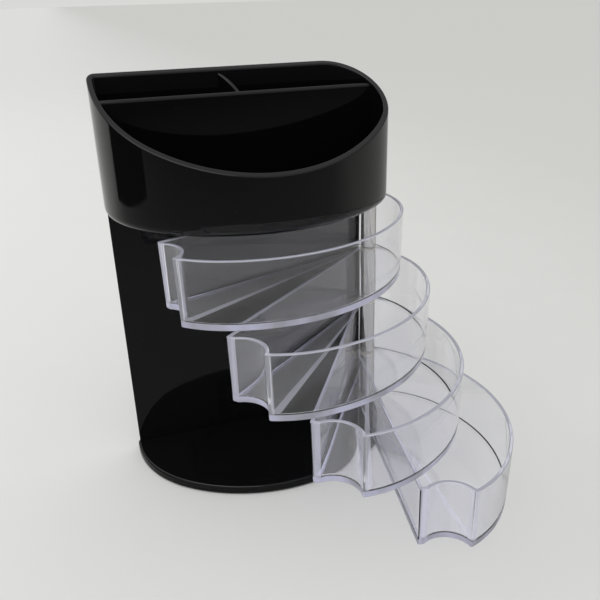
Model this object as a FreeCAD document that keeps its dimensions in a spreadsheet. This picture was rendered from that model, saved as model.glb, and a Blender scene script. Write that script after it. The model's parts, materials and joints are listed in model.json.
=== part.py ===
import FreeCAD, Part
import math
import os

import Sketcher

# Rotating desk organizer with drawers
#
# Millimetres, +Z up. z = 0 is the plane that the rubber feet stand on, x = 0 the middle of the
# straight back, y = 0 the back face, and the front is towards -y. Seen from above, the body is a D:
# a straight back with two small corners, a short straight side and a side arc on each side, and one
# wide front arc. Four clear drawers of the same D stand one above the other and swing out round one
# steel rod in the right back corner. They are drawn here fanned out like a staircase.

# The driving sizes: name, value, what it is
SIZES = (
    ("body_width", 145.2, "width of the D across its straight sides"),
    ("body_depth", 68.0, "depth of the D from the back face to the front arc"),
    ("side_run", 5.9, "depth of the straight sides, from the back face to the side arcs"),
    ("front_half_angle", 40.45, "half of the angle that the front arc spans, in degrees"),
    ("corner_radius", 4.0, "radius of the D's back corners"),
    ("base_thickness", 4.2, "height of the base's skirt"),
    ("base_skin", 1.8, "thickness of the base's top"),
    ("base_skirt", 2.2, "thickness of the skirt round the base"),
    ("base_edge_chamfer", 0.9, "chamfer on the base's top edge"),
    ("rib_thickness", 1.5, "thickness of the ribs under the base"),
    ("rib_rise", 0.4, "how far the ribs end above the skirt's lower edge"),
    ("foot_show_height", 0.8, "height of a rubber foot that stands out below the base"),
    ("foot_seat_depth", 1.0, "depth of the recess that holds a foot"),
    ("foot_diameter", 9.0, "diameter of a rubber foot"),
    ("foot_chamfer", 0.4, "chamfer on a foot's lower edge"),
    ("foot_play", 0.05, "radial room of a foot in its recess"),
    ("foot_wall", 1.6, "wall round a foot's recess"),
    ("panel_thickness", 2.9, "thickness of the back panel"),
    ("panel_corner_radius", 2.7, "rounding of the panel's left back edge"),
    ("panel_left_inset", 1.1, "from the body's left side to the panel"),
    ("panel_right_inset", 10.2, "from the panel to the body's right side"),
    ("tab_width", 14.0, "width of a tab on the panel's lower edge"),
    ("tab_thickness", 1.5, "thickness of a tab"),
    ("tab_depth", 2.0, "height of a tab"),
    ("tab_play", 0.1, "room round a tab in its slot"),
    ("drawer_height", 31.9, "height of a drawer"),
    ("level_gap", 1.2, "gap between two levels, which a slip washer fills"),
    ("drawer_side_gap", 1.2, "how far the drawers stand inside the D at the front and sides"),
    ("drawer_back_gap", 4.7, "from the back face to a closed drawer's back wall"),
    ("drawer_wall", 1.7, "wall thickness of a drawer at its rim"),
    ("drawer_floor", 3.1, "floor thickness of a drawer"),
    ("drawer_taper_width", 0.6, "how much further in a drawer's outside stands at its foot"),
    ("drawer_chamfer", 0.6, "chamfer on a drawer's lower edge"),
    ("end_inset", 12.1, "from the body's left side to the drawer's straight end band"),
    ("scoop_radius", 12.0, "radius of the finger scoop in the drawer's free end"),
    ("scoop_inset", 2.9, "from the body's left side to the scoop's centre"),
    ("scoop_back", 16.4, "from the back face to the scoop's centre"),
    ("tube_diameter", 8.2, "outer diameter of a spacer tube"),
    ("tube_room", 0.4, "room between a tube and the drawer's corner"),
    ("rod_diameter", 5.0, "diameter of the pivot rod"),
    ("running_play", 0.05, "radial play of what turns on the rod"),
    ("washer_diameter", 9.0, "outer diameter of a slip washer"),
    ("head_diameter", 9.6, "diameter of the rod's flat head"),
    ("head_thickness", 1.2, "thickness of the head"),
    ("drive_width", 1.2, "width of the screwdriver slot in the head"),
    ("drive_depth", 0.6, "depth of the slot"),
    ("head_washer_diameter", 12.0, "diameter of the washer above the head"),
    ("head_washer_thickness", 0.6, "thickness of that washer"),
    ("tip_chamfer", 0.6, "chamfer on the rod's upper end"),
    ("tray_height", 66.2, "height of the tray at its back"),
    ("rim_angle", 30.3, "slope of the tray's rim, down towards the front, in degrees"),
    ("tray_wall", 2.5, "wall thickness of the tray"),
    ("tray_lap", 2.8, "how far the panel laps up behind the tray's floor"),
    ("tray_skin", 1.4, "floor thickness left above the lap"),
    ("tray_foot_radius", 4.8, "rounding of the tray's lower edge"),
    ("tray_corner_angle", 38.07, "where the tray's wide corner leaves the side arc, in degrees"),
    ("divider_thickness", 1.8, "thickness of the main divider"),
    ("divider_place", 15.6, "from the back face to the middle of the main divider"),
    ("divider_drop", 1.7, "how far the dividers end below the rim"),
    ("cross_thickness", 1.6, "thickness of the cross divider"),
    ("cross_bow", 0.8, "how far the cross divider bows towards the right"),
    ("lug_radius", 7.4, "radius of the lug that carries the rod's upper end"),
    ("boss_wall", 2.5, "wall round the rod's blind hole"),
    ("boss_height", 9.0, "height of the boss above the lug"),
    ("boss_cap", 2.5, "what closes the blind hole at its top"),
    ("overrun", 5.0, "how far a cut runs past what it cuts"),
    ("drawer_1_angle", 21.45, "how far the top drawer is swung out, in degrees"),
    ("drawer_2_angle", 40.94, "the second drawer, likewise"),
    ("drawer_3_angle", 58.43, "the third drawer, likewise"),
    ("drawer_4_angle", 80.14, "the bottom drawer, likewise"),
)

# Places as shares of the size that they follow
TAB_PLACES_SHARE = (0.14, 0.5, 0.86)
FOOT_PLACES_SHARE = {
    "foot_back_left": (-0.40, 0.17),
    "foot_back_right": (0.36, 0.17),
    "foot_front_left": (-0.23, 0.78),
    "foot_front_right": (0.23, 0.78),
}
RIB_PLACES_SHARE = (-0.3, 0.0, 0.24)
LONG_RIB_SHARE = 0.46
CROSS_BACK_SHARE = -0.078
CROSS_FRONT_SHARE = -0.032
NEAR_SHARE = 1e-5

DRAWERS = 4
UP = FreeCAD.Vector(0, 0, 1)
ORIGIN_POINT = (-1, 1)


class Term:
    """A length with the formula that it comes from, so that every sketch keeps its formulas."""

    def __init__(self, number, formula):
        self.number = number
        self.formula = formula

    def joined(self, sign, other, number):
        return Term(number, f"({self.formula} {sign} {other.formula})")

    def __add__(self, other):
        return self.joined("+", other, self.number + other.number)

    def __sub__(self, other):
        return self.joined("-", other, self.number - other.number)

    def __mul__(self, other):
        return self.joined("*", other, self.number * other.number)

    def __truediv__(self, other):
        return self.joined("/", other, self.number / other.number)

    def __neg__(self):
        return NOTHING - self


def plain(number):
    """A plain number as a term."""
    return Term(number, repr(number))


def leg(long_side, side):
    """The other short side of a right triangle, where a circle crosses a line."""
    square = long_side * long_side - side * side
    return Term(math.sqrt(square.number), f"sqrt({square.formula})")


def of_angle(alias, function):
    """The sine, cosine or tangent of one of the sheet's angles."""
    angle = math.radians(size(alias).number)
    return Term(function(angle), f"{function.__name__}(Sizes.{alias} * 1 deg)")


NOTHING = plain(0)
ONE = plain(1)
TWO = plain(2)

doc = FreeCAD.newDocument("desk_organizer")
sheet = doc.addObject("Spreadsheet::Sheet", "Sizes")
for row, (alias, value, meaning) in enumerate(SIZES, start=1):
    sheet.set(f"A{row}", meaning)
    sheet.set(f"B{row}", str(value))
    sheet.setAlias(f"B{row}", alias)
doc.recompute()


def size(alias):
    """A driving size of the sheet as a term."""
    return Term(float(sheet.get(alias)), f"Sizes.{alias}")


# Places that several pieces share. The front arc and a side arc meet in one tangent where the front
# arc has turned through its half angle. So both radii follow from the D's width and depth: the two
# arcs together reach from the middle of the front to the straight side, across and along.
HALF_WIDTH = size("body_width") / TWO
ARC_DEPTH = size("body_depth") - size("side_run")
SINE = of_angle("front_half_angle", math.sin)
COSINE = of_angle("front_half_angle", math.cos)
FRONT_RADIUS = (HALF_WIDTH * COSINE - ARC_DEPTH * (ONE - SINE)) / (SINE + COSINE - ONE)
SIDE_RADIUS = (ARC_DEPTH * SINE - HALF_WIDTH * (ONE - COSINE)) / (SINE + COSINE - ONE)
FRONT_Y = FRONT_RADIUS - size("body_depth")
SIDE_X = HALF_WIDTH - SIDE_RADIUS
SIDE_Y = -size("side_run")

TUBE_RADIUS = size("tube_diameter") / TWO
ROD_RADIUS = size("rod_diameter") / TWO
BORE_RADIUS = ROD_RADIUS + size("running_play")
HINGE_RADIUS = TUBE_RADIUS + size("tube_room") + size("drawer_wall")
PIVOT_Y = -(size("drawer_back_gap") + HINGE_RADIUS)
PIVOT_X = SIDE_X + leg(SIDE_RADIUS - size("drawer_side_gap") - HINGE_RADIUS, SIDE_Y - PIVOT_Y)

BASE_BOTTOM = size("foot_show_height")
BASE_TOP = BASE_BOTTOM + size("base_thickness")
BASE_HOLLOW = size("base_thickness") - size("base_skin")
LEVEL_PITCH = size("drawer_height") + size("level_gap")
TRAY_BOTTOM = BASE_TOP + size("level_gap") + plain(DRAWERS) * LEVEL_PITCH
TRAY_FLOOR = size("tray_lap") + size("tray_skin")
TRAY_TOP = TRAY_BOTTOM + size("tray_height")
# The tray's wide corner leaves the side arc in a tangent and touches the back face at TRAY_CORNER_X
CORNER_SINE = of_angle("tray_corner_angle", math.sin)
CORNER_COSINE = of_angle("tray_corner_angle", math.cos)
TRAY_CORNER_RADIUS = (SIDE_RADIUS * CORNER_SINE - SIDE_Y) / (ONE + CORNER_SINE)
TRAY_CORNER_X = SIDE_X + (SIDE_RADIUS - TRAY_CORNER_RADIUS) * CORNER_COSINE
PANEL_LEFT = size("panel_left_inset") - HALF_WIDTH
PANEL_RIGHT = HALF_WIDTH - size("panel_right_inset")


def drawer_bottom(level):
    """The height of a drawer's underside: level 1 is the top one."""
    below = plain(DRAWERS - level)
    return BASE_TOP + size("level_gap") + below * LEVEL_PITCH


# Sketches


def vector(point):
    return FreeCAD.Vector(point[0], point[1], 0)


def bind(sketch, kind, places, length):
    """A dimension of the sketch, bound to its formula."""
    index = sketch.addConstraint(Sketcher.Constraint(kind, *places, length.number))
    sketch.setExpression(f"Constraints[{index}]", length.formula)


def pin_point(sketch, place, x=None, y=None):
    """Hold a point of the sketch at x, at y or at both."""
    if x is NOTHING:
        sketch.addConstraint(Sketcher.Constraint("Vertical", *ORIGIN_POINT, *place))
    elif x is not None:
        bind(sketch, "DistanceX", (*ORIGIN_POINT, *place), x)
    if y is NOTHING:
        sketch.addConstraint(Sketcher.Constraint("Horizontal", *ORIGIN_POINT, *place))
    elif y is not None:
        bind(sketch, "DistanceY", (*ORIGIN_POINT, *place), y)


class Outline:
    """A closed run of lines and arcs, drawn anticlockwise, each from where the last one ended."""

    def __init__(self, sketch):
        self.sketch = sketch
        self.pieces = []

    def line(self, start, end):
        geometry = Part.LineSegment(vector(start), vector(end))
        index = self.sketch.addGeometry(geometry, False)
        self.pieces.append((index, 1, 2))
        return index

    def arc(self, centre, radius, start, end, hollow=False):
        """An arc of the given radius: a hollow one bends into the outline."""
        circle = Part.Circle(vector(centre), UP, radius.number)
        first, last = (end, start) if hollow else (start, end)
        bounds = (circle.parameter(vector(first)), circle.parameter(vector(last)))
        index = self.sketch.addGeometry(Part.ArcOfCircle(circle, *bounds), False)
        self.pieces.append((index, 2, 1) if hollow else (index, 1, 2))
        bind(self.sketch, "Radius", (index,), radius)
        return index

    def close(self, smooth):
        """Join each piece to the next, tangent where smooth says so."""
        for place, (index, _, end) in enumerate(self.pieces):
            after, start, _ = self.pieces[(place + 1) % len(self.pieces)]
            kind = "Tangent" if smooth[place] else "Coincident"
            self.sketch.addConstraint(Sketcher.Constraint(kind, index, end, after, start))


def polygon(sketch, corners):
    """A closed polygon whose corners are pairs of terms."""
    outline = Outline(sketch)
    for place, (x, y) in enumerate(corners):
        next_x, next_y = corners[(place + 1) % len(corners)]
        index = outline.line((x.number, y.number), (next_x.number, next_y.number))
        pin_point(sketch, (index, 1), x, y)
    outline.close([False] * len(corners))


def rectangle(sketch, low_x, low_y, high_x, high_y):
    polygon(sketch, ((low_x, low_y), (high_x, low_y), (high_x, high_y), (low_x, high_y)))


def disc(sketch, x, y, radius):
    """A full circle about a place."""
    circle = Part.Circle(FreeCAD.Vector(x.number, y.number, 0), UP, radius.number)
    index = sketch.addGeometry(circle, False)
    bind(sketch, "Radius", (index,), radius)
    pin_point(sketch, (index, 3), x, y)


def along(centre, towards, reach):
    """The point at a reach from a centre, on the ray towards another point or past it."""
    across = (towards[0] - centre[0], towards[1] - centre[1])
    scale = reach / math.hypot(*across)
    return (centre[0] + across[0] * scale, centre[1] + across[1] * scale)


def crossing(first, first_radius, second, second_radius):
    """Where two circles cross, on the left of the way from the first centre to the second."""
    apart = math.dist(first, second)
    share = (apart**2 + first_radius**2 - second_radius**2) / (2 * apart**2)
    rise = math.sqrt(first_radius**2 - (share * apart) ** 2) / apart
    step = (second[0] - first[0], second[1] - first[1])
    return (
        first[0] + step[0] * share - step[1] * rise,
        first[1] + step[1] * share + step[0] * rise,
    )


def front_run(outline, inset, start, end, origin=(NOTHING, NOTHING)):
    """The left side arc, the front arc and the right side arc of the D, inset all along.

    Offset arcs keep their centres, and meet where the front arc has turned through its half angle.
    origin is where the sketch's own origin lies in the D.
    """
    shift_x, shift_y = origin
    front = (-shift_x.number, (FRONT_Y - shift_y).number)
    left = (-(SIDE_X + shift_x).number, (SIDE_Y - shift_y).number)
    right = ((SIDE_X - shift_x).number, (SIDE_Y - shift_y).number)
    front_radius = FRONT_RADIUS - inset
    side_radius = SIDE_RADIUS - inset
    across = (front_radius * SINE).number
    joint_y = front[1] - (front_radius * COSINE).number
    left_joint = (front[0] - across, joint_y)
    right_joint = (front[0] + across, joint_y)
    left_arc = outline.arc(left, side_radius, start, left_joint)
    front_arc = outline.arc(front, front_radius, left_joint, right_joint)
    right_arc = outline.arc(right, side_radius, right_joint, end)
    front_x = NOTHING if shift_x is NOTHING else -shift_x
    pin_point(outline.sketch, (front_arc, 3), front_x, FRONT_Y - shift_y)
    pin_point(outline.sketch, (left_arc, 3), y=SIDE_Y - shift_y)
    pin_point(outline.sketch, (right_arc, 3), y=SIDE_Y - shift_y)


def body_outline(sketch, inset):
    """The whole D, inset by less than its corner radius, with both back corners alike."""
    corner = size("corner_radius") - inset
    half = (HALF_WIDTH - inset).number
    back = -inset.number
    side_y = SIDE_Y.number
    reach = corner.number
    outline = Outline(sketch)
    back_line = outline.line((half - reach, back), (reach - half, back))
    outline.arc((reach - half, back - reach), corner, (reach - half, back), (-half, back - reach))
    left_line = outline.line((-half, back - reach), (-half, side_y))
    front_run(outline, inset, (-half, side_y), (half, side_y))
    right_line = outline.line((half, side_y), (half, back - reach))
    outline.arc((half - reach, back - reach), corner, (half, back - reach), (half - reach, back))
    outline.close([True] * len(outline.pieces))
    sketch.addConstraint(Sketcher.Constraint("Horizontal", back_line))
    sketch.addConstraint(Sketcher.Constraint("Vertical", left_line))
    sketch.addConstraint(Sketcher.Constraint("Vertical", right_line))
    pin_point(sketch, (back_line, 1), y=NOTHING if inset is NOTHING else -inset)


def tray_outline(sketch, inset):
    """The D of the tray's walls, whose right back corner is one wide arc."""
    corner = size("corner_radius") - inset
    wide = TRAY_CORNER_RADIUS - inset
    half = (HALF_WIDTH - inset).number
    back = -inset.number
    side_y = SIDE_Y.number
    reach = corner.number
    wide_centre = (TRAY_CORNER_X.number, -TRAY_CORNER_RADIUS.number)
    side_centre = (SIDE_X.number, side_y)
    joint = along(side_centre, wide_centre, (SIDE_RADIUS - inset).number)
    outline = Outline(sketch)
    back_line = outline.line((wide_centre[0], back), (reach - half, back))
    outline.arc((reach - half, back - reach), corner, (reach - half, back), (-half, back - reach))
    left_line = outline.line((-half, back - reach), (-half, side_y))
    front_run(outline, inset, (-half, side_y), joint)
    outline.arc(wide_centre, wide, joint, (wide_centre[0], back))
    outline.close([True] * len(outline.pieces))
    sketch.addConstraint(Sketcher.Constraint("Horizontal", back_line))
    sketch.addConstraint(Sketcher.Constraint("Vertical", left_line))
    pin_point(sketch, (back_line, 1), y=NOTHING if inset is NOTHING else -inset)


def drawer_outline(sketch, inset, hinge_radius):
    """A drawer in plan, closed, with the pivot at the sketch's origin.

    It is the D inside its gaps, with a round corner about the pivot, and a finger scoop between the
    straight end band and the left side arc.
    """
    origin = (PIVOT_X, PIVOT_Y)
    side_inset = size("drawer_side_gap") + inset
    end_x = size("end_inset") + inset - HALF_WIDTH - PIVOT_X
    scoop_x = size("scoop_inset") - HALF_WIDTH - PIVOT_X
    scoop_y = -size("scoop_back") - PIVOT_Y
    scoop_radius = size("scoop_radius") + inset
    scoop = (scoop_x.number, scoop_y.number)
    left = (-(SIDE_X + PIVOT_X).number, (SIDE_Y - PIVOT_Y).number)
    right = ((SIDE_X - PIVOT_X).number, (SIDE_Y - PIVOT_Y).number)
    band_end = (end_x.number, scoop[1] + leg(scoop_radius, end_x - scoop_x).number)
    side_radius = SIDE_RADIUS - side_inset
    scoop_end = crossing(left, side_radius.number, scoop, scoop_radius.number)
    hinge_start = along(right, (0, 0), side_radius.number)
    back = hinge_radius.number
    outline = Outline(sketch)
    back_line = outline.line((0, back), (end_x.number, back))
    end_line = outline.line((end_x.number, back), band_end)
    scoop_arc = outline.arc(scoop, scoop_radius, band_end, scoop_end, hollow=True)
    front_run(outline, side_inset, scoop_end, hinge_start, origin)
    hinge_arc = outline.arc((0, 0), hinge_radius, hinge_start, (0, back))
    outline.close([False, False, False, True, True, True, True])
    sketch.addConstraint(Sketcher.Constraint("Horizontal", back_line))
    sketch.addConstraint(Sketcher.Constraint("Vertical", end_line))
    pin_point(sketch, (end_line, 1), x=end_x)
    pin_point(sketch, (scoop_arc, 3), scoop_x, scoop_y)
    pin_point(sketch, (hinge_arc, 3), y=NOTHING)


# Features


def new_body(label):
    body = doc.addObject("PartDesign::Body", label)
    body.Label = label
    return body


def new_sketch(body, name, height=None, role="XY_Plane"):
    """A sketch on one of the body's origin planes, or lifted off it by height."""
    sketch = body.newObject("Sketcher::SketchObject", name)
    plane = [item for item in body.Origin.OriginFeatures if item.Role == role][0]
    sketch.AttachmentSupport = [(plane, "")]
    sketch.MapMode = "FlatFace"
    if height is not None:
        sketch.setExpression("AttachmentOffset.Base.z", height.formula)
    return sketch


def solid_of(body):
    doc.recompute()
    return body.Shape.Volume


def pad(body, sketch, name, length):
    """Add the sketch's outline, upwards by length."""
    feature = body.newObject("PartDesign::Pad", name)
    feature.Profile = sketch
    feature.setExpression("Length", length.formula)
    doc.recompute()
    return feature


def pocket(body, sketch, name, length, upwards=False, middle=False):
    """Cut the sketch's outline by length, and make sure that something was cut."""
    before = solid_of(body)
    feature = body.newObject("PartDesign::Pocket", name)
    feature.Profile = sketch
    feature.setExpression("Length", length.formula)
    feature.Reversed = upwards
    if middle:
        feature.SideType = "Symmetric"
    if solid_of(body) >= before:
        raise RuntimeError(f"{body.Label}: {name} cuts nothing")
    return feature


def edges_at(shape, fits):
    """The names of the edges whose box passes the test."""
    return [f"Edge{place}" for place, edge in enumerate(shape.Edges, 1) if fits(edge.BoundBox)]


def rounding(body, base, name, alias, fits):
    """Round the edges of a feature whose box passes the test."""
    feature = body.newObject("PartDesign::Fillet", name)
    feature.Base = (base, edges_at(base.Shape, fits))
    feature.setExpression("Radius", size(alias).formula)
    doc.recompute()


def chamfer(body, base, name, alias, fits):
    """Chamfer the edges of a feature whose box passes the test."""
    feature = body.newObject("PartDesign::Chamfer", name)
    feature.Base = (base, edges_at(base.Shape, fits))
    feature.setExpression("Size", size(alias).formula)
    doc.recompute()


def same(first, second):
    """Whether two lengths are the same, but for rounding errors."""
    return math.isclose(first, second, abs_tol=size("overrun").number * NEAR_SHARE)


def level_with(height):
    """A test for edges that lie flat at a height."""
    return lambda box: same(box.ZMin, height) and same(box.ZMax, height)


def stand_at(body, x=NOTHING, y=NOTHING, z=NOTHING):
    for axis, length in zip("xyz", (x, y, z)):
        if length is not NOTHING:
            body.setExpression(f"Placement.Base.{axis}", length.formula)


# Pieces


def base_plate():
    """The D-shaped foot: a moulded skin and skirt, ribbed underneath, with recesses for the feet."""
    body = new_body("base_plate")
    outline = new_sketch(body, "base_outline", BASE_BOTTOM)
    body_outline(outline, NOTHING)
    block = pad(body, outline, "base_block", size("base_thickness"))
    chamfer(body, block, "base_edge", "base_edge_chamfer", level_with(BASE_TOP.number))

    hollow = new_sketch(body, "hollow_outline", BASE_BOTTOM)
    body_outline(hollow, size("base_skirt"))
    pocket(body, hollow, "underside", BASE_HOLLOW, upwards=True)

    middle = size("base_skirt") / TWO
    half_rib = size("rib_thickness") / TWO
    rib_bottom = BASE_BOTTOM + size("rib_rise")
    rib_height = BASE_HOLLOW - size("rib_rise")
    for place, share in enumerate(RIB_PLACES_SHARE, 1):
        rib = new_sketch(body, f"rib_outline_{place}", rib_bottom)
        x = size("body_width") * plain(share)
        rib_end = FRONT_Y - leg(FRONT_RADIUS - middle, x)
        rectangle(rib, x - half_rib, rib_end, x + half_rib, -middle)
        pad(body, rib, f"rib_{place}", rib_height)
    long_rib = new_sketch(body, "long_rib_outline", rib_bottom)
    y = -(size("body_depth") * plain(LONG_RIB_SHARE))
    reach = SIDE_X + leg(SIDE_RADIUS - middle, SIDE_Y - y)
    rectangle(long_rib, -reach, y - half_rib, reach, y + half_rib)
    pad(body, long_rib, "long_rib", rib_height)

    foot_radius = size("foot_diameter") / TWO
    recess_radius = foot_radius + size("foot_play")
    for name, (x, y) in foot_places().items():
        post = new_sketch(body, f"{name}_post", BASE_BOTTOM)
        disc(post, x, y, recess_radius + size("foot_wall"))
        pad(body, post, f"{name}_boss", BASE_HOLLOW)
        recess = new_sketch(body, f"{name}_outline", BASE_BOTTOM)
        disc(recess, x, y, recess_radius)
        pocket(body, recess, f"{name}_recess", size("foot_seat_depth"), upwards=True)

    landing = new_sketch(body, "head_landing_outline", BASE_BOTTOM)
    disc(landing, PIVOT_X, PIVOT_Y, size("head_washer_diameter") / TWO + size("tab_play"))
    pocket(body, landing, "head_landing", BASE_HOLLOW, upwards=True)
    bore = new_sketch(body, "rod_bore_outline", BASE_BOTTOM)
    disc(bore, PIVOT_X, PIVOT_Y, BORE_RADIUS)
    pocket(body, bore, "rod_bore", size("base_thickness"), upwards=True)

    play = size("tab_play")
    for place, (low, high) in enumerate(tab_places(), 1):
        slot = new_sketch(body, f"slot_outline_{place}", BASE_TOP)
        front = -size("panel_thickness") - play
        back = size("tab_thickness") + play - size("panel_thickness")
        rectangle(slot, low - play, front, high + play, back)
        pocket(body, slot, f"slot_{place}", size("tab_depth"))
    return body


def foot_places():
    """Where the rubber feet stand under the base."""
    return {
        name: (size("body_width") * plain(x), -(size("body_depth") * plain(y)))
        for name, (x, y) in FOOT_PLACES_SHARE.items()
    }


def tab_places():
    """The left and right edge of each tab on the panel's lower edge."""
    width = PANEL_RIGHT - PANEL_LEFT
    half = size("tab_width") / TWO
    middles = [PANEL_LEFT + width * plain(share) for share in TAB_PLACES_SHARE]
    return [(middle - half, middle + half) for middle in middles]


def back_panel():
    """The flat wall between the base and the tray, with tabs that stand in the base's slots."""
    body = new_body("back_panel")
    outline = new_sketch(body, "panel_outline", BASE_TOP)
    rectangle(outline, PANEL_LEFT, -size("panel_thickness"), PANEL_RIGHT, NOTHING)
    height = TRAY_BOTTOM + size("tray_lap") - BASE_TOP
    sheet_pad = pad(body, outline, "panel_sheet", height)
    left = PANEL_LEFT.number

    def back_left(box):
        return same(box.XMax, left) and same(box.YMin, 0) and same(box.ZLength, height.number)

    rounding(body, sheet_pad, "panel_corner", "panel_corner_radius", back_left)
    for place, (low, high) in enumerate(tab_places(), 1):
        tab = new_sketch(body, f"tab_outline_{place}", BASE_TOP - size("tab_depth"))
        front = -size("panel_thickness")
        rectangle(tab, low, front, high, front + size("tab_thickness"))
        pad(body, tab, f"tab_{place}", size("tab_depth"))
    return body


def top_tray():
    """The pen tray in one moulding: D-shaped walls under a slanted rim, two dividers and the lug."""
    body = new_body("top_tray")
    slope = of_angle("rim_angle", math.tan)
    wall = size("tray_wall")
    middle = wall / TWO
    half = size("divider_thickness") / TWO
    centre = size("divider_place")

    # Main divider: a level wall from the left side arc to the wide corner's arc
    divider = new_sketch(body, "divider_outline", TRAY_BOTTOM)
    left = -(SIDE_X + leg(SIDE_RADIUS - middle, centre + SIDE_Y))
    wide = TRAY_CORNER_RADIUS
    right = TRAY_CORNER_X + leg(wide - middle, wide - centre)
    rectangle(divider, left, -centre - half, right, half - centre)
    pad(body, divider, "main_divider", size("tray_height"))

    # Cross divider: a bowed wall between the back wall and the main divider
    cross = new_sketch(body, "cross_outline", TRAY_BOTTOM)
    back = (size("body_width") * plain(CROSS_BACK_SHARE), -middle)
    front = (size("body_width") * plain(CROSS_FRONT_SHARE), -centre)
    bowed_wall(cross, back, front, size("cross_thickness") / TWO, size("cross_bow"))
    pad(body, cross, "cross_divider", size("tray_height"))
    slanted_cut(body, "divider_tops", TRAY_TOP - size("divider_drop"), slope)

    # Walls and floor
    walls = new_sketch(body, "wall_outline", TRAY_BOTTOM)
    tray_outline(walls, NOTHING)
    tray_outline(walls, wall)
    pad(body, walls, "walls", size("tray_height"))
    floor = new_sketch(body, "floor_outline", TRAY_BOTTOM)
    tray_outline(floor, NOTHING)
    floor_pad = pad(body, floor, "floor", TRAY_FLOOR)
    low = TRAY_BOTTOM.number
    rounding(body, floor_pad, "tray_foot", "tray_foot_radius", level_with(low))

    # Lug and boss for the rod's upper end, behind the wide corner
    lug = new_sketch(body, "lug_outline", TRAY_BOTTOM)
    lug_outline(lug)
    pad(body, lug, "lug", TRAY_FLOOR)
    boss = new_sketch(body, "boss_outline", TRAY_BOTTOM)
    disc(boss, PIVOT_X, PIVOT_Y, ROD_RADIUS + size("boss_wall"))
    pad(body, boss, "boss", TRAY_FLOOR + size("boss_height"))
    bore = new_sketch(body, "rod_socket_outline", TRAY_BOTTOM)
    disc(bore, PIVOT_X, PIVOT_Y, BORE_RADIUS)
    depth = TRAY_FLOOR + size("boss_height") - size("boss_cap")
    pocket(body, bore, "rod_socket", depth, upwards=True)

    # Lap for the panel's upper edge
    lap = new_sketch(body, "lap_outline", TRAY_BOTTOM)
    play = size("tab_play")
    lap_front = -size("panel_thickness") - play
    rectangle(lap, PANEL_LEFT - play, lap_front, PANEL_RIGHT + play, size("overrun"))
    pocket(body, lap, "panel_lap", size("tray_lap"), upwards=True)

    slanted_cut(body, "rim_cut", TRAY_TOP, slope)
    return body


def slanted_cut(body, name, back_height, slope):
    """Cut away what stands above a plane that falls towards the front from a height at the back."""
    sketch = new_sketch(body, f"{name}_outline", role="YZ_Plane")
    over = size("overrun")
    front_y = -size("body_depth") - over
    top = TRAY_TOP + over + slope * over
    corners = (
        (front_y, back_height + slope * front_y),
        (over, back_height + slope * over),
        (over, top),
        (front_y, top),
    )
    polygon(sketch, corners)
    pocket(body, sketch, name, size("body_width") + over, middle=True)


def bowed_wall(sketch, back, front, half, bow):
    """A wall of even thickness along an arc between two places, bowed towards the right."""
    across = front[0] - back[0]
    down = back[1] - front[1]
    chord_square = across * across + down * down
    chord = Term(math.sqrt(chord_square.number), f"sqrt({chord_square.formula})")
    radius = chord_square / (plain(8) * bow) + bow / TWO
    back_off = (radius - bow) / chord
    centre_x = (back[0] + front[0]) / TWO - down * back_off
    centre_y = (back[1] + front[1]) / TWO - across * back_off
    centre = (centre_x.number, centre_y.number)
    ends = [(x.number, y.number) for x, y in (back, front)]
    outer = [along(centre, end, (radius + half).number) for end in ends]
    inner = [along(centre, end, (radius - half).number) for end in ends]
    outline = Outline(sketch)
    outer_arc = outline.arc(centre, radius + half, outer[1], outer[0])
    outline.line(outer[0], inner[0])
    inner_arc = outline.arc(centre, radius - half, inner[0], inner[1], hollow=True)
    outline.line(inner[1], outer[1])
    outline.close([False] * len(outline.pieces))
    pin_point(sketch, (outer_arc, 3), centre_x, centre_y)
    sketch.addConstraint(Sketcher.Constraint("Coincident", outer_arc, 3, inner_arc, 3))


def lug_outline(sketch):
    """The lug in plan: from the wide corner's centre out round the pivot, to the back face."""
    radius = size("lug_radius")
    wide = TRAY_CORNER_RADIUS
    inner = (TRAY_CORNER_X.number, -wide.number)
    pivot = (PIVOT_X.number, PIVOT_Y.number)
    reach = radius.number
    apart = math.dist(inner, pivot)
    lean = math.acos(reach / apart)
    heading = math.atan2(inner[1] - pivot[1], inner[0] - pivot[0]) + lean
    touch = (pivot[0] + reach * math.cos(heading), pivot[1] + reach * math.sin(heading))
    side = (pivot[0] + reach, pivot[1])
    outline = Outline(sketch)
    back_line = outline.line((pivot[0], 0), (inner[0], 0))
    inner_line = outline.line((inner[0], 0), inner)
    outline.line(inner, touch)
    pivot_arc = outline.arc(pivot, radius, touch, side)
    side_line = outline.line(side, (side[0], -reach))
    outline.arc((pivot[0], -reach), radius, (side[0], -reach), (pivot[0], 0))
    outline.close([False, False, True, True, True, True])
    sketch.addConstraint(Sketcher.Constraint("Horizontal", back_line))
    sketch.addConstraint(Sketcher.Constraint("Vertical", side_line))
    pin_point(sketch, (inner_line, 1), TRAY_CORNER_X, NOTHING)
    pin_point(sketch, (inner_line, 2), TRAY_CORNER_X, -wide)
    pin_point(sketch, (pivot_arc, 3), PIVOT_X, PIVOT_Y)


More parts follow.
